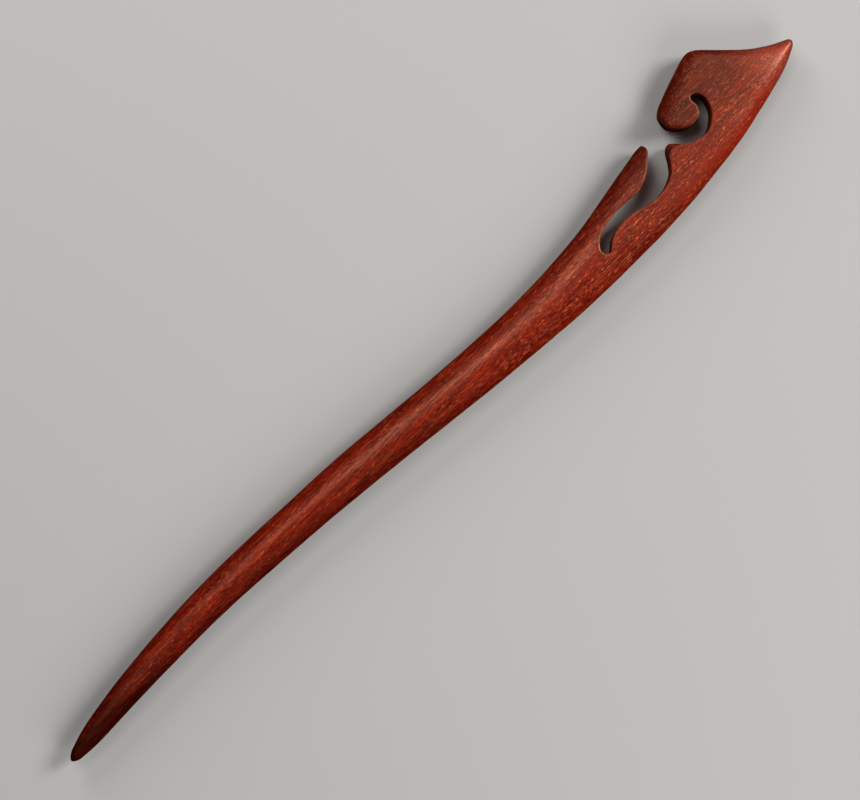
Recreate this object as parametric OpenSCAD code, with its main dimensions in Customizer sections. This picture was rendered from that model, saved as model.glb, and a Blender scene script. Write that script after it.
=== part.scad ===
// Hair stick carved from one flat board of wood: a tapered shaft with a gentle
// double bend, and an openwork head with a finger, a lobe, a scroll and a point.

/* [Size] */
// Length from the tip to the end of the point
stick_length = 180; // [150:1:210]
// Thickness of the board at its thickest, from the middle of the shaft to the head
board_thickness = 7; // [5:0.5:9]

/* [Edges] */
// Length of the rounding at the tip
tip_round = 1.8; // [1:0.1:3]
// Length of the rounding at the end of the point
point_round = 0.6; // [0.4:0.1:1.2]
// Radius of the rounded edges of the openwork
edge_round = 0.3; // [0.15:0.05:0.3]

/* [Smoothness] */
// Longest spacing of the sections along the shaft
shaft_step = 2.5; // [1.5:0.5:5]
// Longest spacing of the sections along the head
head_step = 1; // [0.75:0.25:2]
// Steps of each quarter of a section's rounded side
side_steps = 6; // [4:1:8]
// Steps between two neighbouring points of the openwork's outline
outline_steps = 4; // [2:1:5]

/* [Hidden] */

// The stick is drawn lying along X, with its tip at 0 and its point at drawn_length.
// Right and left are as seen from above, looking from the tip to the point.
drawn_length = 180;
plan_scale = stick_length / drawn_length;
mid_height = board_thickness / 2;
// Where the closer spacing of the sections begins
head_start = 128;
// Steps of the rounding at each end, and how far round it the first one is
end_steps = 6;
end_angle = 12;
// A section is flat on top over at least this share of its width
least_flat = 0.06;
// How full the rounded sides are. At 2 they are quarters of an ellipse, on the shaft.
// They grow fuller over the stretch of the shaft that widens into the head.
shaft_fullness = 2;
head_fullness = 2.3;
widening_start = 118;
widening_end = 132;
// How far the openwork's rounded edges are cut past the board's faces, and their slope there
round_margin = 0.05;
round_slope = tan(22.5);

// The board's outline and sections. Each row is one section across the stick.
// THICK is a share of the board's thickness. The two roundings say how far in from
// the edge the top starts to fall. On the shaft they meet, and it is round right across.
STATION = 0;
RIGHT = 1;
LEFT = 2;
THICK = 3;
ROUND_RIGHT = 4;
ROUND_LEFT = 5;
sections = [
    [0, -0.6, 1.15, 0.34, 5, 5],
    [5, -0.92, 2.78, 0.52, 5, 5],
    [10, -0.8, 3.75, 0.62, 5, 5],
    [20, -0.45, 5.05, 0.75, 5, 5],
    [30, -0.3, 5.8, 0.84, 5, 5],
    [40, -0.5, 6.1, 0.9, 5, 5],
    [50, -1.05, 5.95, 0.94, 5, 5],
    [60, -1.75, 5.5, 0.97, 5, 5],
    [70, -2.65, 5.05, 0.99, 5, 5],
    [80, -3.7, 4.22, 1, 5, 5],
    [90, -4.85, 3.3, 1, 5, 5],
    [100, -5.95, 2.6, 1, 5, 5],
    [110, -6.85, 2.15, 1, 4.6, 4.6],
    [120, -7.65, 2.25, 1, 4.3, 4.7],
    [130, -7.9, 3.15, 1, 4.1, 5.2],
    [140, -7.85, 4.9, 1, 3.9, 6],
    [148, -7.4, 6.4, 1, 3.6, 5.6],
    [154, -6.8, 8.35, 1, 3.3, 4.2],
    [158, -6.3, 9.8, 1, 3.1, 3.3],
    [162, -5.68, 11.15, 0.98, 3, 2.7],
    [163.5, -5.38, 11.65, 0.96, 3, 2.6],
    [165, -5.05, 11.87, 0.94, 3, 2.1],
    [166.5, -4.68, 11.3, 0.91, 2.9, 1.7],
    [169, -4.15, 8.93, 0.86, 2.7, 1.6],
    [173, -3.15, 5.05, 0.75, 2.3, 1.6],
    [176, -2.18, 2.87, 0.61, 1.7, 1.4],
    [179, -0.8, 1.32, 0.42, 0.9, 0.8],
    [180, -0.15, 0.85, 0.3, 0.8, 0.8]
];

// The openwork's outline, in four curves that follow each other round it.
// Along the finger, from the closed end of the long slot to past the finger's tip
finger_side = [
    [130.5, -3.55], [129.85, -3.05], [129.7, -2.35], [130.05, -1.55], [131.15, -0.5],
    [133.1, 0.25], [136, 0.7], [139.5, 0.65], [141.95, 0.6], [144.8, 1.7],
    [146.85, 3.35], [147.85, 4.2], [148.25, 4.95], [148.2, 5.7], [147.85, 6.15]
];
// Round the open mouth, clear of the board
mouth = [[146.1, 7], [147, 12], [154, 12], [155.8, 10]];
// Down the scroll, round its foot and up the inside of the curl
scroll_side = [
    [154.35, 8.6], [153.4, 7.6], [153.1, 6.3], [153.2, 4.8], [154.45, 3.3],
    [155.75, 2.4], [157.2, 2.1], [158.8, 2.55], [159.65, 3.95], [159.6, 5.2]
];
// Round the end of the curl, down its outside, over the lobe and back along the spine
spine_side = [
    [159.85, 5.85], [160.45, 5.9], [161.05, 5.5], [161.45, 4.85], [161.5, 3.5],
    [160.75, 1.65], [159.45, 0.35], [157.8, -0.5], [156, -0.4], [154.3, 0.15],
    [152.8, 1.45], [151.85, 2.45], [151.4, 2.8], [150.9, 2.65], [150.25, 2.05], [149.35, 0.5],
    [148.05, -1.1], [146.1, -2.05], [143.8, -2.45], [141.2, -2.15], [138.6, -1.45],
    [136, -1.25], [133.8, -1.6], [132.2, -2.3], [131.2, -3.15]
];

// A smooth curve through one column of the sections, at the station x
function slope(row, column) =
    let (before = sections[max(row - 1, 0)], after = sections[min(row + 1, len(sections) - 1)])
    (after[column] - before[column]) / (after[STATION] - before[STATION]);
function row_before(x) =
    max([for (row = [0 : len(sections) - 2]) if (sections[row][STATION] <= x) row]);
function at(x, column) =
    let (
        row = row_before(x),
        from = sections[row],
        to = sections[row + 1],
        span = to[STATION] - from[STATION],
        t = (x - from[STATION]) / span,
        share = (3 - 2 * t) * t * t,
        bend = (1 - t) * slope(row, column) - t * slope(row + 1, column)
    )
    from[column] * (1 - share) + to[column] * share + span * t * (1 - t) * bend;

// A smooth closed curve through a ring of points
function curve_point(a, b, c, d, t) =
    let (rise = c - a, turn = 2 * a - 5 * b + 4 * c - d, twist = 3 * b - a - 3 * c + d)
    b + (rise * t + turn * t * t + twist * t * t * t) / 2;
function on_ring(ring, i) = ring[(i + len(ring)) % len(ring)];
function closed_curve(ring, steps) = [
    for (i = [0 : len(ring) - 1], k = [0 : steps - 1])
        curve_point(on_ring(ring, i - 1), ring[i], on_ring(ring, i + 1), on_ring(ring, i + 2), k / steps)
];

// Where the sections stand: close together at the rounded ends, in even steps between
function end_share(k) = end_angle + (90 - end_angle) * k / end_steps;
function end_station(length, k) = length * (1 - cos(end_share(k)) / cos(end_angle));
function even_stations(from, to, step) =
    let (count = ceil((to - from) / step))
    [for (k = [1 : count - 1]) from + (to - from) * k / count];
stations = concat(
    [for (k = [0 : end_steps]) end_station(tip_round, k)],
    even_stations(tip_round, head_start, shaft_step),
    [head_start],
    even_stations(head_start, drawn_length - point_round, head_step),
    [for (k = [end_steps : -1 : 0]) drawn_length - end_station(point_round, k)]
);

// How much of a section the rounding of the ends leaves
function end_taper(x, length) = x >= length ? 1 : sqrt(1 - pow(cos(end_angle) * (1 - x / length), 2));
function taper(x) = end_taper(x, tip_round) * end_taper(drawn_length - x, point_round);

// How far in from the edge a rounded side has come at an angle round it
function fullness(x) =
    let (widened = min(max((x - widening_start) / (widening_end - widening_start), 0), 1))
    shaft_fullness + (head_fullness - shaft_fullness) * widened;
function inward(x, a) = 1 - pow(cos(a), 2 / fullness(x));

// One section: up the right side, over the top, down the left side and back below
side_angles = [for (k = [0 : side_steps]) 90 * k / side_steps];
function section_ring(x) =
    let (
        middle = (at(x, LEFT) + at(x, RIGHT)) / 2,
        half = (at(x, LEFT) - at(x, RIGHT)) / 2 * taper(x),
        widest = half * (1 - least_flat),
        right = min(at(x, ROUND_RIGHT), widest),
        left = min(at(x, ROUND_LEFT), widest),
        rise = mid_height * min(at(x, THICK), 1) * taper(x),
        over = concat(
            [for (a = side_angles) [x, middle - half + right * inward(x, a), rise * sin(a)]],
            [for (a = side_angles) [x, middle + half - left * inward(x, 90 - a), rise * cos(a)]]
        ),
        under = [for (i = [len(over) - 2 : -1 : 1]) [x, over[i].y, -over[i].z]]
    )
    concat(over, under);

// The faces between two rings of points
function band(here, ahead, around) = [
    for (k = [0 : around - 1])
        let (next = (k + 1) % around)
        [here + k, here + next, ahead + next, ahead + k]
];

// The board with its rounded sides, before the openwork is cut
module blank() {
    rings = [for (x = stations) section_ring(x)];
    around = len(rings[0]);
    last = len(rings) - 1;
    polyhedron(
        points = [for (ring = rings) each ring],
        faces = concat(
            [[for (k = [around - 1 : -1 : 0]) k]],
            [for (i = [0 : last - 1]) each band(i * around, (i + 1) * around, around)],
            [[for (k = [0 : around - 1]) last * around + k]]
        )
    );
}

// The openwork's outline, and the way into the wood at each of its points
openwork_outline = closed_curve(concat(finger_side, mouth, scroll_side, spine_side), outline_steps);
function into_wood(i) =
    let (along = on_ring(openwork_outline, i + 1) - on_ring(openwork_outline, i - 1))
    [-along.y, along.x] / norm(along);

// What is sawn out between the finger, the lobe, the scroll and the curl. Towards both
// faces of the board it widens in two flats, which round its edges. Each level is given
// by how far into the wood it lies from the outline, and by its height.
round_in = edge_round * (1 - cos(45));
upper_levels = [
    [0, mid_height - edge_round],
    [round_in, mid_height - round_in],
    [edge_round + round_margin, mid_height + round_margin * round_slope]
];
levels = concat(
    [for (i = [len(upper_levels) - 1 : -1 : 0]) [upper_levels[i].x, -upper_levels[i].y]],
    upper_levels
);
module openwork() {
    around = len(openwork_outline);
    last = len(levels) - 1;
    polyhedron(
        points = [
            for (level = levels, i = [0 : around - 1])
                let (place = openwork_outline[i] + into_wood(i) * level.x)
                [place.x, place.y, level.y]
        ],
        faces = concat(
            [[for (k = [around - 1 : -1 : 0]) k]],
            [for (i = [0 : last - 1]) each band(i * around, (i + 1) * around, around)],
            [[for (k = [0 : around - 1]) last * around + k]]
        )
    );
}

// The drawing's middle across, so that the origin is under the middle of the stick
edges_y = [for (x = stations, column = [RIGHT, LEFT]) at(x, column)];
middle_y = (min(edges_y) + max(edges_y)) / 2;

module hair_stick() {
    color("#8c3220")
        translate([-stick_length / 2, -middle_y * plan_scale, mid_height])
            scale([plan_scale, plan_scale, 1])
                difference() {
                    blank();
                    openwork();
                }
}

hair_stick();
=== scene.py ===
"""The hair stick's looks: a smooth carved body in place of the solid, red wood, floor, light, camera."""

import math

import bpy
import numpy as np
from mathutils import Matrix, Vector


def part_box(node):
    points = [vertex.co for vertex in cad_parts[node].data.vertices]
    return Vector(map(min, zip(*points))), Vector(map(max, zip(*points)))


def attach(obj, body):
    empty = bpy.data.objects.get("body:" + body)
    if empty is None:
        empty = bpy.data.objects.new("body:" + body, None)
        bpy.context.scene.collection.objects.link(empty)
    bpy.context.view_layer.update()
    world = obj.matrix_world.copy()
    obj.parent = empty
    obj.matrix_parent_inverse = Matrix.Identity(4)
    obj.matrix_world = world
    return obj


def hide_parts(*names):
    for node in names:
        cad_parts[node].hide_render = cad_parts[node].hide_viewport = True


MM = 0.001
NODE = "hair_stick"

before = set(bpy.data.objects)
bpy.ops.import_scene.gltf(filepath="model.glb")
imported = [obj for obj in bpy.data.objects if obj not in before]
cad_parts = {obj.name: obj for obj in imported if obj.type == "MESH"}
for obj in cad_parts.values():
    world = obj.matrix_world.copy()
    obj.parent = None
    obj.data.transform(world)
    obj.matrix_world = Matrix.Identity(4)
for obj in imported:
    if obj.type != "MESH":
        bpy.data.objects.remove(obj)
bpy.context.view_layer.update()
lowest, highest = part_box(NODE)
# The solid's length and thickness in millimetres, and its middle in metres
LENGTH = (highest.x - lowest.x) / MM
THICKNESS = (highest.z - lowest.z) / MM
MIDDLE = (lowest + highest) / 2

# The stick is drawn along X in millimetres, with its tip at 0 and its point at 180. Right
# and left are as seen from above, looking from the tip to the point. Each section: station,
# right edge, left edge, share of the thickness, and how far in the two roundings reach.
STATION, RIGHT, LEFT, THICK, ROUND_RIGHT, ROUND_LEFT = range(6)
SECTIONS = np.array([
    [0, -0.6, 1.15, 0.34, 5, 5],
    [5, -0.92, 2.78, 0.52, 5, 5],
    [10, -0.8, 3.75, 0.62, 5, 5],
    [20, -0.45, 5.05, 0.75, 5, 5],
    [30, -0.3, 5.8, 0.84, 5, 5],
    [40, -0.5, 6.1, 0.9, 5, 5],
    [50, -1.05, 5.95, 0.94, 5, 5],
    [60, -1.75, 5.5, 0.97, 5, 5],
    [70, -2.65, 5.05, 0.99, 5, 5],
    [80, -3.7, 4.22, 1, 5, 5],
    [90, -4.85, 3.3, 1, 5, 5],
    [100, -5.95, 2.6, 1, 5, 5],
    [110, -6.85, 2.15, 1, 4.6, 4.6],
    [120, -7.65, 2.25, 1, 4.3, 4.7],
    [130, -7.9, 3.15, 1, 4.1, 5.2],
    [140, -7.85, 4.9, 1, 3.9, 6],
    [148, -7.4, 6.4, 1, 3.6, 5.6],
    [154, -6.8, 8.35, 1, 3.3, 4.2],
    [158, -6.3, 9.8, 1, 3.1, 3.3],
    [162, -5.68, 11.15, 0.98, 3, 2.7],
    [163.5, -5.38, 11.65, 0.96, 3, 2.6],
    [165, -5.05, 11.87, 0.94, 3, 2.1],
    [166.5, -4.68, 11.3, 0.91, 2.9, 1.7],
    [169, -4.15, 8.93, 0.86, 2.7, 1.6],
    [173, -3.15, 5.05, 0.75, 2.3, 1.6],
    [176, -2.18, 2.87, 0.61, 1.7, 1.4],
    [179, -0.8, 1.32, 0.42, 0.9, 0.8],
    [180, -0.15, 0.85, 0.3, 0.8, 0.8],
])
# Lengths of the rounding at the tip and at the end of the point
TIP_ROUND = 1.8
POINT_ROUND = 0.6
# Where the shaft starts to widen into the head, and where the head begins
WIDENING = (118, 132)
# How full the rounded sides are on the shaft, where they are quarters of an ellipse, and on
# the head
FULLNESS = (2, 2.8)
# How much further in the rounded sides start on the head, so that they meet its faces softly
FURTHER_IN = 0.4
# How much lower the head's faces are at their edges than in the middle
CROWN = 0.45

# The openwork's outline: along the finger, round the mouth, round the scroll's foot
# and up the curl, then down outside the curl, over the lobe and back along the spine.
OPENWORK = np.array([
    [130.5, -3.55], [129.85, -3.05], [129.7, -2.35], [130.05, -1.55], [131.15, -0.5],
    [133.1, 0.25], [136, 0.7], [139.5, 0.65], [141.95, 0.6], [144.8, 1.7],
    [146.85, 3.35], [147.85, 4.2], [148.25, 4.95], [148.2, 5.7], [147.85, 6.15],
    [146.1, 7], [147, 12], [154, 12], [155.8, 10],
    [154.35, 8.6], [153.4, 7.6], [153.1, 6.3], [153.2, 4.8], [154.45, 3.3],
    [155.75, 2.4], [157.2, 2.1], [158.8, 2.55], [159.65, 3.95], [159.6, 5.2],
    [159.85, 5.85], [160.45, 5.9], [161.05, 5.5], [161.45, 4.85], [161.5, 3.5],
    [160.75, 1.65], [159.45, 0.35], [157.8, -0.5], [156, -0.4], [154.3, 0.15],
    [152.8, 1.45], [151.85, 2.45], [151.4, 2.8], [150.9, 2.65], [150.25, 2.05], [149.35, 0.5],
    [148.05, -1.1], [146.1, -2.05], [143.8, -2.45], [141.2, -2.15], [138.6, -1.45],
    [136, -1.25], [133.8, -1.6], [132.2, -2.3], [131.2, -3.15],
])
# Steps from each point of the outline to the next
OUTLINE_STEPS = 6
# Up to this station the wood counts as far from the openwork
OPENWORK_START = 127
FAR = 9.0
# Radius of the openwork's rounded edges, and where they are rounded more than along the
# slots: place along and across, reach, added radius
EDGE_ROUND = 0.32
SOFT_EDGES = [
    [153.2, 6.6, 1.9, 0.55],  # the scroll's side on the mouth
    [154.6, 3.2, 1.4, 0.4],  # the scroll's foot
    [148.0, 5.4, 1.2, 0.4],  # the finger's tip
    [151.3, 2.7, 1.0, 1.3],  # the lobe
]

# Hand carving: the wood that it takes away on the average, and how that varies in two waves
CARVED_AWAY = 0.05
BROAD_WAVE = 0.033
FINE_WAVE = 0.017


def slopes():
    """How fast each column of the sections changes at each station."""
    after = np.vstack([SECTIONS[1:], SECTIONS[-1:]])
    before = np.vstack([SECTIONS[:1], SECTIONS[:-1]])
    return (after - before) / (after[:, :1] - before[:, :1])


SLOPES = slopes()


def along(x, column):
    """A column of the sections at the stations x, on a smooth curve through the rows."""
    row = np.searchsorted(SECTIONS[:, STATION], x, side="right") - 1
    row = np.clip(row, 0, len(SECTIONS) - 2)
    start = SECTIONS[row, STATION]
    span = SECTIONS[row + 1, STATION] - start
    t = np.clip((x - start) / span, 0, 1)
    share = (3 - 2 * t) * t * t
    bend = (1 - t) * SLOPES[row, column] - t * SLOPES[row + 1, column]
    level = SECTIONS[row, column] * (1 - share) + SECTIONS[row + 1, column] * share
    return level + span * t * (1 - t) * bend


def edge_slope(x, column):
    """How fast an edge of the stick moves sideways along it."""
    step = 0.05
    return (along(x + step, column) - along(x - step, column)) / (2 * step)


def middle_across():
    """The middle of the drawing across the stick, halfway between its outermost edges."""
    samples = 1801
    x = np.linspace(0, LENGTH, samples)
    return (along(x, RIGHT).min() + along(x, LEFT).max()) / 2


def closed_curve(ring, steps):
    """A smooth closed curve through a ring of points, in a number of steps from each to the next."""
    before, here, after, beyond = [np.roll(ring, shift, 0) for shift in (1, 0, -1, -2)]
    rise = after - before
    turn = 2 * before - 5 * here + 4 * after - beyond
    twist = 3 * here - before - 3 * after + beyond
    parts = []
    for k in range(steps):
        t = k / steps
        parts.append(here + (rise * t + turn * t**2 + twist * t**3) / 2)
    return np.stack(parts, 1).reshape(-1, 2)


OUTLINE = closed_curve(OPENWORK, OUTLINE_STEPS)


def to_outline(x, y):
    """Signed distance to the openwork's outline, negative inside the opening."""
    nearest = np.full(x.shape, np.inf)
    inside = np.zeros(x.shape, bool)
    for (ax, ay), (bx, by) in zip(OUTLINE, np.roll(OUTLINE, -1, 0)):
        dx, dy = bx - ax, by - ay
        t = np.clip(((x - ax) * dx + (y - ay) * dy) / (dx * dx + dy * dy), 0, 1)
        nearest = np.minimum(nearest, (x - ax - t * dx) ** 2 + (y - ay - t * dy) ** 2)
        if ay != by:
            crosses = (ay > y) != (by > y)
            inside ^= crosses & (x < dx * (y - ay) / dy + ax)
    return np.where(inside, -1, 1) * np.sqrt(nearest)


def to_openwork(x, y):
    """Signed distance to the openwork, worked out on the head only."""
    distance = np.full(x.shape, FAR)
    head = x > OPENWORK_START
    distance[head] = to_outline(x[head], y[head])
    return distance


def wobble(x, y, z):
    """The slight unevenness of hand carving: how much wood it takes away, in millimetres."""
    # What x, y and z are divided by sets how long the waves are in that direction
    broad = np.sin(x / 5.3 + 0.9 * np.sin(y / 3.1)) * np.sin(y / 2.3 + z / 3.7 + x / 17)
    fine = np.sin(x / 2.1 + y / 1.7 + 1.3) * np.sin(z / 1.9 - y / 3.3 + x / 6.1)
    return CARVED_AWAY + BROAD_WAVE * broad + FINE_WAVE * fine


def to_blank(x, y, z):
    """Distance to the board with its rounded sides, negative inside. z is from its mid-plane."""
    right, left = along(x, RIGHT), along(x, LEFT)
    half = (left - right) / 2
    widened = np.clip((x - WIDENING[0]) / (WIDENING[1] - WIDENING[0]), 0, 1)
    fullness = FULLNESS[0] + (FULLNESS[1] - FULLNESS[0]) * widened
    further = 1 + FURTHER_IN * widened
    round_right = np.minimum(along(x, ROUND_RIGHT) * further, half)
    round_left = np.minimum(along(x, ROUND_LEFT) * further, half)
    across = np.clip((y - (right + left) / 2) / half, -1, 1)
    rise = THICKNESS / 2 * np.minimum(along(x, THICK), 1) - CROWN * widened * across**2

    # How far out a point is towards the nearer side, the face and the nearer end. Each of
    # them is 1 at the surface, and together they are rounded much as an ellipsoid is.
    from_right = np.maximum(1 - (y - right) / round_right, 0)
    from_left = np.maximum(1 - (left - y) / round_left, 0)
    side = np.maximum(from_right, from_left) ** (fullness / 2)
    height = z / rise
    end = np.maximum(np.maximum(1 - x / TIP_ROUND, 1 - (LENGTH - x) / POINT_ROUND), 0)
    least_radius = 0.001
    radius = np.maximum(np.sqrt(side**2 + height**2 + end**2), least_radius)

    # Divided by its own steepness, what is left to the surface becomes a distance. In the
    # core, which is far from every side, the distance is taken as 1 mm.
    core_radius = 0.3
    core_distance = -1.0
    least_steepness = 0.15
    near_right = from_right > from_left
    side_reach = np.where(near_right, round_right, round_left)
    end_reach = np.where(x < LENGTH / 2, TIP_ROUND, POINT_ROUND)
    lean = np.where(near_right, edge_slope(x, RIGHT), edge_slope(x, LEFT))
    side_climb = fullness / 2 * side ** (2 - 2 / fullness) / side_reach
    steepness = np.sqrt(
        side_climb**2 * (1 + lean**2) + (height / rise) ** 2 + (end / end_reach) ** 2
    ) / radius
    distance = (radius - 1) / np.maximum(steepness, least_steepness)
    return np.where(radius < core_radius, core_distance, distance)


def edge_radius(x, y):
    """Radius of the rounding between the openwork's walls and the faces."""
    radius = np.full(x.shape, EDGE_ROUND)
    for place_x, place_y, reach, added in SOFT_EDGES:
        radius = radius + added * np.exp(-((x - place_x) ** 2 + (y - place_y) ** 2) / (2 * reach**2))
    return radius


def carved(x, y, z, opening):
    """Nearly the distance to the carved stick. The opening is the distance to the openwork."""
    board = to_blank(x, y, z)
    radius = edge_radius(x, y)
    over = np.hypot(np.maximum(board + radius, 0), np.maximum(radius - opening, 0))
    return np.minimum(np.maximum(board, -opening), -radius) + over + wobble(x, y, z)


def carved_at(points):
    """The same at free points."""
    x, y, z = points.T
    return carved(x, y, z, to_openwork(x, y))


def grid_lines():
    """Grid lines in millimetres, fine at the tip and over the head and further apart on the shaft."""
    fine_step = 0.23
    shaft_step = 0.55
    cross_step = 0.22
    shaft_start, shaft_end = 5, 125
    right_side, left_side = -8.3, 12.4
    # How far the grid reaches past the ends of the stick, and past its faces
    before_tip, past_point = 0.6, 0.8
    below, above = 0.3, 0.4
    xs = np.concatenate([
        np.arange(-before_tip, shaft_start, fine_step),
        np.arange(shaft_start, shaft_end, shaft_step),
        np.arange(shaft_end, LENGTH + past_point, fine_step),
    ])
    ys = np.arange(right_side, left_side, cross_step)
    zs = np.arange(-THICKNESS / 2 - below, THICKNESS / 2 + above, cross_step)
    return xs, ys, zs


def laid_along(numbers, axis):
    """A row of numbers laid along one axis of the grid."""
    shape = [1, 1, 1]
    shape[axis] = -1
    return numbers.reshape(shape)


def crossings(grid, value, axis):
    """Which steps of the grid along an axis the surface crosses, and the points where it does."""
    start, stop = [slice(None)] * 3, [slice(None)] * 3
    start[axis], stop[axis] = slice(None, -1), slice(1, None)
    here, ahead = value[tuple(start)], value[tuple(stop)]
    crossed = (here < 0) != (ahead < 0)
    share = np.where(crossed, here / np.where(crossed, here - ahead, 1), 0)
    lines = [laid_along(numbers, i) for i, numbers in enumerate(grid)]
    place = [np.broadcast_to(line, value.shape)[tuple(start)] for line in lines]
    place[axis] = place[axis] + share * laid_along(np.diff(grid[axis]), axis)
    return crossed, np.stack(place, -1) * crossed[..., None]


def quads_across(crossed, value, number, axis):
    """A quad across each crossed step, between the numbered corners of the four cells round it."""
    i, j = (axis + 1) % 3, (axis + 2) % 3
    steps = np.argwhere(crossed)
    steps = steps[(steps[:, i] > 0) & (steps[:, j] > 0)]
    steps = steps[(steps[:, i] < value.shape[i] - 1) & (steps[:, j] < value.shape[j] - 1)]
    corners = []
    for back_i, back_j in ((1, 1), (0, 1), (0, 0), (1, 0)):
        cell = steps.copy()
        cell[:, i] -= back_i
        cell[:, j] -= back_j
        corners.append(number[tuple(cell.T)])
    quads = np.stack(corners, 1)
    inwards = value[tuple(steps.T)] >= 0
    quads[inwards] = quads[inwards][:, ::-1]
    return quads


def surface_net(grid, value):
    """Quads round the zero of a value on a grid. Each cell that the surface crosses has a corner."""
    cells = tuple(n - 1 for n in value.shape)
    total = np.zeros(cells + (3,))
    count = np.zeros(cells)
    steps = []
    for axis in range(3):
        crossed, points = crossings(grid, value, axis)
        steps.append(crossed)
        first, second = [k for k in range(3) if k != axis]
        for i, j in ((0, 0), (0, 1), (1, 0), (1, 1)):
            cut = [slice(None)] * 3
            cut[first] = slice(i, cells[first] + i)
            cut[second] = slice(j, cells[second] + j)
            total += points[tuple(cut)]
            count += crossed[tuple(cut)]
    used = count > 0
    number = np.full(cells, -1)
    number[used] = np.arange(used.sum())
    corners = total[used] / count[used][:, None]
    quads = [quads_across(crossed, value, number, axis) for axis, crossed in enumerate(steps)]
    return corners, np.concatenate(quads)


def settle(points):
    """Moves points onto the surface, along the steepest direction."""
    rounds = 2
    probe = 0.02
    least_climb = 0.05
    longest_move = 0.15
    for _ in range(rounds):
        distance = carved_at(points)
        climb = np.stack([carved_at(points + probe * axis) - distance for axis in np.eye(3)], 1) / probe
        size = np.maximum((climb**2).sum(1), least_climb)
        points = points - np.clip(distance / size, -longest_move, longest_move)[:, None] * climb
    return points


def walls_and_rims(points):
    """How much of the openwork's sawn wall and of its worn rim each point has, from 0 to 1."""
    # In millimetres: how far into the wood the wall counts, how far below the faces it starts,
    # over how much each of the two fades, and how wide and how deep the rim is
    wall_reach, wall_fade = 0.45, 0.35
    wall_depth, depth_fade = 0.12, 0.5
    rim_width, rim_depth = 0.38, 0.5
    x, y, z = points.T
    opening = to_openwork(x, y)
    board = to_blank(x, y, z)
    wall = np.clip((wall_reach - opening) / wall_fade, 0, 1)
    wall = wall * np.clip((-board - wall_depth) / depth_fade, 0, 1)
    rim = np.clip(1 - np.abs(opening) / rim_width, 0, 1) * np.clip(1 - np.abs(board) / rim_depth, 0, 1)
    return wall, rim


def add_object(name, data):
    """A new object in the scene."""
    made = bpy.data.objects.new(name, data)
    bpy.context.collection.objects.link(made)
    return made


def carve_stick():
    """The smooth body that stands for the solid."""
    grid = grid_lines()
    x, y, z = np.meshgrid(*grid, indexing="ij")
    # The openwork goes straight through, so its distance is the same at every height
    opening = to_openwork(x[:, :, :1], y[:, :, :1])
    points, quads = surface_net(grid, carved(x, y, z, opening))
    points = settle(points)

    drawn_middle = np.array([LENGTH / 2, middle_across(), 0])
    placed = (points - drawn_middle) * MM + np.array(MIDDLE)
    mesh = bpy.data.meshes.new("carved_stick")
    mesh.from_pydata(placed.tolist(), [], quads.tolist())
    mesh.validate()
    mesh.shade_smooth()
    for name, values in zip(("sawn", "rim"), walls_and_rims(points)):
        layer = mesh.attributes.new(name, "FLOAT", "POINT")
        layer.data.foreach_set("value", values.astype(np.float32))
    return add_object("carved_stick", mesh)


def link(tree, value, socket):
    """Sets a socket to a number or colour, or joins it to another node's output."""
    if isinstance(value, bpy.types.NodeSocket):
        tree.links.new(value, socket)
    else:
        socket.default_value = value


def reckon(tree, operation, a, b=0.0, c=0.0, clamp=False):
    """One operation on two or three values."""
    made = tree.nodes.new("ShaderNodeMath")
    made.operation = operation
    made.use_clamp = clamp
    for value, socket in zip((a, b, c), made.inputs):
        link(tree, value, socket)
    return made.outputs[0]


def times(tree, a, b):
    """The product of two values."""
    return reckon(tree, "MULTIPLY", a, b)


def plus(tree, total, value, gain, clamp=False):
    """A total with a value added to it, times a gain."""
    return reckon(tree, "MULTIPLY_ADD", value, gain, total, clamp)


def swung(tree, total, wave, gain, clamp=False):
    """A total that swings both ways with a noise, by the noise's distance from its middle."""
    middle = 0.5
    return plus(tree, total, reckon(tree, "SUBTRACT", wave, middle), gain, clamp)


# The way along X, Y and Z in which a noise's offset moves it
OFFSET_WAY = (1.0, 0.7, 1.3)


def noise(tree, place, sizes, offset, detail=2):
    """Smooth noise from 0 to 1, with features of the given sizes along X, Y and Z, in millimetres."""
    moved = tree.nodes.new("ShaderNodeVectorMath")
    moved.operation = "MULTIPLY_ADD"
    link(tree, place, moved.inputs[0])
    moved.inputs[1].default_value = [1 / (size * MM) for size in sizes]
    moved.inputs[2].default_value = [offset * way for way in OFFSET_WAY]
    made = tree.nodes.new("ShaderNodeTexNoise")
    link(tree, moved.outputs[0], made.inputs["Vector"])
    made.inputs["Scale"].default_value = 1
    made.inputs["Detail"].default_value = detail
    return made.outputs["Fac"]


def between(tree, value, start, stop, low=0.0, high=1.0):
    """The value's range from start to stop, spread smoothly from low to high."""
    made = tree.nodes.new("ShaderNodeMapRange")
    made.interpolation_type = "SMOOTHSTEP"
    for name, entry in zip(("From Min", "From Max", "To Min", "To Max"), (start, stop, low, high)):
        made.inputs[name].default_value = entry
    link(tree, value, made.inputs["Value"])
    return made.outputs["Result"]


def stretch(tree, coordinate, start, stop, low=0.0, high=1.0):
    """A coordinate's range from start to stop, which are in millimetres from the stick's middle,
    spread smoothly from low to high."""
    return between(tree, coordinate, start * MM, stop * MM, low, high)


def blend(tree, share, under, over, mode="MIX"):
    """One colour laid over another by a share."""
    made = tree.nodes.new("ShaderNodeMix")
    made.data_type = "RGBA"
    made.blend_type = mode
    colours = {socket.name: socket for socket in made.inputs if socket.type == "RGBA"}
    link(tree, share, made.inputs["Factor"])
    link(tree, under, colours["A"])
    link(tree, over, colours["B"])
    return [socket for socket in made.outputs if socket.type == "RGBA"][0]


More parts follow.
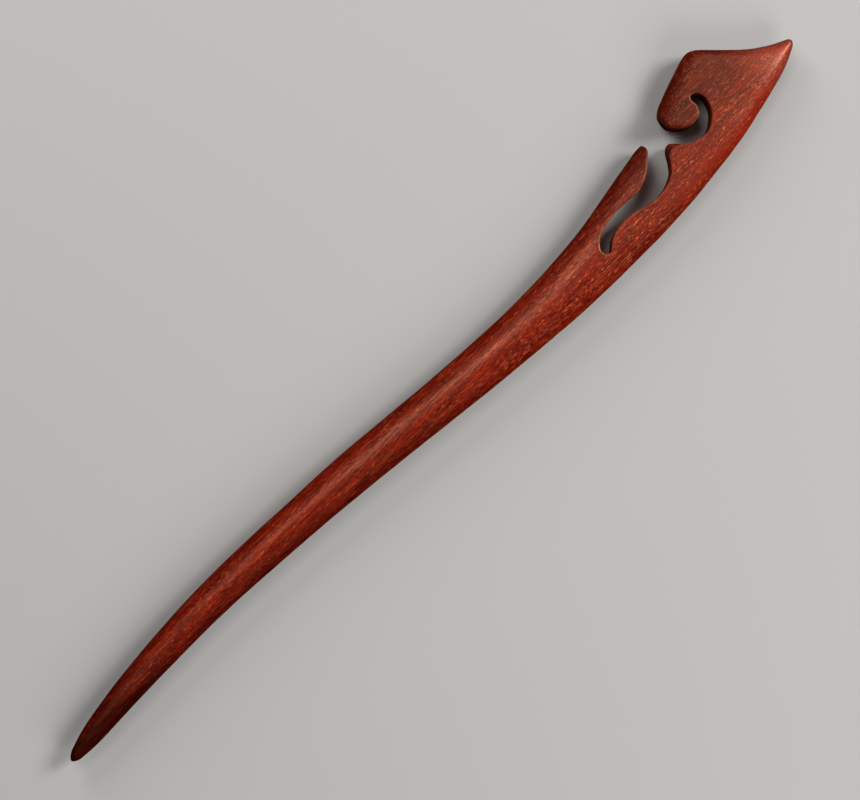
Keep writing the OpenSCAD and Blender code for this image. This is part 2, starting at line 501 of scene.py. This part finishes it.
def tones(tree, value, first, middle, last):
    """Three colours along a value: the first at 0, the middle one halfway and the last at 1."""
    halfway = 0.5
    made = tree.nodes.new("ShaderNodeValToRGB")
    ramp = made.color_ramp
    ramp.elements[0].color = first
    ramp.elements[1].color = last
    ramp.elements.new(halfway).color = middle
    link(tree, value, made.inputs["Fac"])
    return made.outputs["Color"]


def attribute(tree, name):
    """A value that the mesh carries."""
    made = tree.nodes.new("ShaderNodeAttribute")
    made.attribute_name = name
    return made.outputs["Fac"]


def new_material(name):
    """A material, its nodes and its shader."""
    material = bpy.data.materials.new(name)
    material.use_nodes = True
    tree = material.node_tree
    return material, tree, tree.nodes["Principled BSDF"]


# The grain's tones, from its dark layers to its bright ones; the bright one is also painted on as light
# along the head's right side
DARK_WOOD = (0.085, 0.0025, 0.0004, 1)
RED_WOOD = (0.21, 0.003, 0.0003, 1)
BRIGHT_WOOD_AND_PAINTED_LIGHT = (0.40, 0.012, 0.001, 1)
# The pale streaks, the light flecks, and the dark pores and streaks
STREAK = (0.75, 0.07, 0.012, 1)
FLECK = (0.95, 0.23, 0.08, 1)
PORE = (0.02, 0.001, 0.0005, 1)
# The openwork's walls, sawn and with painted shade; worn wood, also the point's painted highlight; and
# the painted shade that darker places are multiplied by, which also darkens the tip
SAWN_WOOD_AND_SHADE = (0.12, 0.016, 0.005, 1)
WORN_AND_HIGHLIGHT = (0.72, 0.17, 0.11, 1)
SHADE = (0.18, 0.09, 0.06, 1)
# The oil finish: its index of refraction, how strongly the fibres' lustre shines under it,
# and the colour of that shine
OIL_IOR = 1.64
LUSTRE = 1.0
LUSTRE_TINT = (1.0, 0.44, 0.28, 1)
# How strongly the relief shows, and its height
RELIEF = 0.3
RELIEF_HEIGHT = 0.05 * MM


def swayed(tree, place):
    """The place as the grain sees it: the grain runs along X and wanders a little to the sides."""
    sway = noise(tree, place, (26, 7, 7), offset=3.1, detail=1.5)
    drift = swung(tree, 0.0, sway, gain=1.6 * MM)
    push = tree.nodes.new("ShaderNodeCombineXYZ")
    link(tree, drift, push.inputs["Y"])
    link(tree, drift, push.inputs["Z"])
    add = tree.nodes.new("ShaderNodeVectorMath")
    link(tree, place, add.inputs[0])
    link(tree, push.outputs[0], add.inputs[1])
    return add.outputs[0]


def heartwood(tree, grain, fibre):
    """Red wood whose tone follows its figure, its layers and its fibres."""
    figure = noise(tree, grain, (48, 2.4, 3.2), offset=1.7, detail=3)
    layers = noise(tree, grain, (34, 0.5, 0.8), offset=5.3)
    tone = swung(tree, 0.5, figure, gain=1.0)
    tone = swung(tree, tone, layers, gain=0.75)
    tone = swung(tree, tone, fibre, gain=2.4, clamp=True)
    return tones(tree, tone, DARK_WOOD, RED_WOOD, BRIGHT_WOOD_AND_PAINTED_LIGHT)


def fibre_lines(tree, grain):
    """Long streaks along the grain, broken up by the cut ends of fibres."""
    streaks = noise(tree, grain, (9, 0.2, 0.3), offset=12.7)
    specks = noise(tree, grain, (0.6, 0.17, 0.17), offset=16.9, detail=1)
    return swung(tree, streaks, specks, gain=0.75)


def light_flecks(tree, grain, x):
    """Short light lines in rows along the grain, fainter on the shaft."""
    flecks = between(tree, noise(tree, grain, (0.9, 0.13, 0.15), offset=27.7, detail=1.5), 0.59, 0.67)
    rows = between(tree, noise(tree, grain, (14, 0.45, 0.6), offset=20.3), 0.4, 0.6, low=0.15)
    return times(tree, times(tree, flecks, rows), stretch(tree, x, 5, 45, low=0.5))


def painted_shade_and_light_by_place(tree, colour, x, y, head):
    """The colour, darker towards the tip, with painted shade on the shaft's right side and on the head's
    left side, painted light along the head's right side, and a painted highlight at the point in the
    worn colour."""
    tip = stretch(tree, x, -58, -84, high=0.66)
    shaft = stretch(tree, x, 25, -40)
    # On the shaft the painted shade lies on the right, past a line that turns where the shaft bends
    bend_start = -50 * MM
    past_bend = reckon(tree, "MAXIMUM", reckon(tree, "SUBTRACT", x, bend_start), 0.0)
    right = stretch(tree, plus(tree, y, past_bend, gain=0.075), 0.7, -1.7, high=0.6)
    # On the head the painted shade lies on the left, and less so at the scroll's outer edge
    scroll = stretch(tree, y, 6, 9.5, high=0.3)
    left = reckon(tree, "SUBTRACT", stretch(tree, y, -4.5, 3, high=0.66), scroll)
    # Painted shade on the shaft's right and the head's left, added to the darkening towards the tip
    shade = plus(tree, tip, shaft, gain=right)
    shade = plus(tree, shade, head, gain=left, clamp=True)
    # Painted light along the head's right side, in the bright wood's colour
    painted_light = times(tree, stretch(tree, x, 45, 75), stretch(tree, y, -3, -7, high=0.5))
    colour = blend(tree, shade, colour, SHADE, "MULTIPLY")
    colour = blend(tree, painted_light, colour, BRIGHT_WOOD_AND_PAINTED_LIGHT)
    # A painted highlight at the point, in the worn colour
    return blend(tree, stretch(tree, x, 78, 86, high=0.24), colour, WORN_AND_HIGHLIGHT)


def satin(tree, place, head, pores, dark, sawn):
    """Roughness of the oil finish: more on the head, in pores and dark streaks, and on sawn walls."""
    sheen = noise(tree, place, (6, 2, 2), offset=33.1)
    rough = between(tree, sheen, 0.3, 0.7, low=0.33, high=0.4)
    rough = plus(tree, rough, head, gain=0.16)
    rough = plus(tree, rough, pores, gain=0.1)
    rough = plus(tree, rough, dark, gain=0.08)
    return plus(tree, rough, sawn, gain=0.25, clamp=True)


def relief(tree, place, pores, fibre, lines, sawn):
    """Relief of fibres, of pores that stay open in the finish, and of saw marks across the walls."""
    marks = noise(tree, place, (0.5, 0.5, 6), offset=41.3)
    height = times(tree, reckon(tree, "SUBTRACT", 1.0, pores), 0.6)
    height = plus(tree, height, fibre, gain=0.35)
    height = plus(tree, height, lines, gain=0.6)
    height = plus(tree, height, times(tree, marks, sawn), gain=0.9)
    bump = tree.nodes.new("ShaderNodeBump")
    bump.inputs["Strength"].default_value = RELIEF
    bump.inputs["Distance"].default_value = RELIEF_HEIGHT
    link(tree, height, bump.inputs["Height"])
    return bump.outputs["Normal"]


def wood_material():
    """Oiled red heartwood: straight grain along the stick, dark pores, light flecks, paler worn rims."""
    material, tree, shader = new_material("red_wood")
    place = tree.nodes.new("ShaderNodeTexCoord").outputs["Object"]
    parts = tree.nodes.new("ShaderNodeSeparateXYZ")
    link(tree, place, parts.inputs[0])
    x, y = parts.outputs[0], parts.outputs[1]
    # Rises from 0 on the shaft to 1 on the head, and falls back to 0 at the end of the point
    head = times(tree, stretch(tree, x, 30, 62), stretch(tree, x, 88, 78))
    sawn = attribute(tree, "sawn")

    grain = swayed(tree, place)
    fibre = noise(tree, grain, (2.2, 0.17, 0.19), offset=9.1, detail=3)
    lines = fibre_lines(tree, grain)
    pale = between(tree, lines, 0.5, 0.76, high=0.5)
    dark = between(tree, lines, 0.5, 0.26, high=0.75)
    pores = between(tree, noise(tree, grain, (1.8, 0.15, 0.17), offset=14.9, detail=1.5), 0.56, 0.68)
    rim = times(tree, attribute(tree, "rim"), between(tree, fibre, 0.3, 0.7, low=0.3, high=0.7))

    colour = heartwood(tree, grain, fibre)
    colour = blend(tree, pale, colour, STREAK)
    colour = blend(tree, dark, colour, PORE)
    colour = blend(tree, times(tree, pores, 0.6), colour, PORE)
    colour = blend(tree, light_flecks(tree, grain, x), colour, FLECK)
    colour = painted_shade_and_light_by_place(tree, colour, x, y, head)
    colour = blend(tree, rim, colour, WORN_AND_HIGHLIGHT)
    # The walls: darker sawn wood, with painted shade inside the openwork
    colour = blend(tree, times(tree, sawn, 0.8), colour, SAWN_WOOD_AND_SHADE)

    link(tree, colour, shader.inputs["Base Color"])
    link(tree, satin(tree, place, head, pores, dark, sawn), shader.inputs["Roughness"])
    link(tree, relief(tree, place, pores, fibre, lines, sawn), shader.inputs["Normal"])
    shader.inputs["IOR"].default_value = OIL_IOR
    shader.inputs["Specular IOR Level"].default_value = LUSTRE
    shader.inputs["Specular Tint"].default_value = LUSTRE_TINT
    return material


# The floor's half width in metres, and its plain finish
FLOOR_HALF_WIDTH = 1.6
FLOOR_COLOUR = (0.62, 0.61, 0.59, 1)
FLOOR_ROUGHNESS = 0.8
FLOOR_SHINE = 0.2


def lay_floor():
    """The pale floor that the stick lies on."""
    material, tree, shader = new_material("pale_floor")
    link(tree, FLOOR_COLOUR, shader.inputs["Base Color"])
    link(tree, FLOOR_ROUGHNESS, shader.inputs["Roughness"])
    link(tree, FLOOR_SHINE, shader.inputs["Specular IOR Level"])
    mesh = bpy.data.meshes.new("floor")
    half = FLOOR_HALF_WIDTH
    corners = [(-half, -half, 0), (half, -half, 0), (half, half, 0), (-half, half, 0)]
    mesh.from_pydata(corners, [], [(0, 1, 2, 3)])
    mesh.materials.append(material)
    floor = add_object("floor", mesh)
    floor.visible_diffuse = False
    floor.visible_glossy = False


def softbox(name, place, size, power, target=(0, 0, 0)):
    """A square soft light that faces the target."""
    light = bpy.data.lights.new(name, "AREA")
    light.shape = "SQUARE"
    light.size = size
    light.energy = power
    lamp = add_object(name, light)
    lamp.location = place
    lamp.rotation_euler = (Vector(target) - Vector(place)).to_track_quat("-Z", "Y").to_euler()
    return lamp


# The even light that comes from all round
BACKDROP_COLOUR = (1, 1, 1, 1)
BACKDROP_STRENGTH = 0.05


def set_light():
    """High softboxes to the stick's left and past its head on the right, and a low fill on each side."""
    softbox("left_softbox", place=(0.07, 0.31, 0.73), size=0.3, power=0.94, target=(0.03, 0, 0))
    softbox("head_softbox", place=(0.7, -0.27, 0.6), size=0.35, power=4.9, target=(0.08, 0, 0))
    right = softbox("right_fill", place=(0.0, -0.45, 0.3), size=0.3, power=0.98)
    left = softbox("left_fill", place=(0.1, 0.45, 0.25), size=0.3, power=0.96, target=(0.02, 0, 0))
    for fill in (right, left):
        fill.visible_glossy = False
    world = bpy.data.worlds.new("studio")
    world.use_nodes = True
    backdrop = world.node_tree.nodes["Background"]
    backdrop.inputs["Color"].default_value = BACKDROP_COLOUR
    backdrop.inputs["Strength"].default_value = BACKDROP_STRENGTH
    world.cycles_visibility.glossy = False
    bpy.context.scene.world = world


# The camera looks straight down, turned so that the stick runs from lower left to upper right
CAMERA_TURN = math.radians(-45)
# In millimetres: the place below it, its height over the stick's middle, the width of its view
# at that height, the width of its sensor, and the nearest distance that it sees
CAMERA_AIM = (-0.1, -1.415)
CAMERA_DISTANCE = 480
VIEW_WIDTH = 151.9
SENSOR_WIDTH = 36
NEAREST_SEEN = 10


def set_camera():
    """The photograph's view."""
    data = bpy.data.cameras.new("camera")
    data.sensor_width = SENSOR_WIDTH
    data.lens = SENSOR_WIDTH * CAMERA_DISTANCE / VIEW_WIDTH
    data.clip_start = NEAREST_SEEN * MM
    camera = add_object("camera", data)
    camera.location = (CAMERA_AIM[0] * MM, CAMERA_AIM[1] * MM, CAMERA_DISTANCE * MM + MIDDLE.z)
    camera.rotation_euler = (0, 0, CAMERA_TURN)
    bpy.context.scene.camera = camera


stick = carve_stick()
stick.data.materials.append(wood_material())
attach(stick, "root")
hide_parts(NODE)
lay_floor()
set_light()
set_camera()
bpy.context.scene.view_settings.view_transform = "Standard"
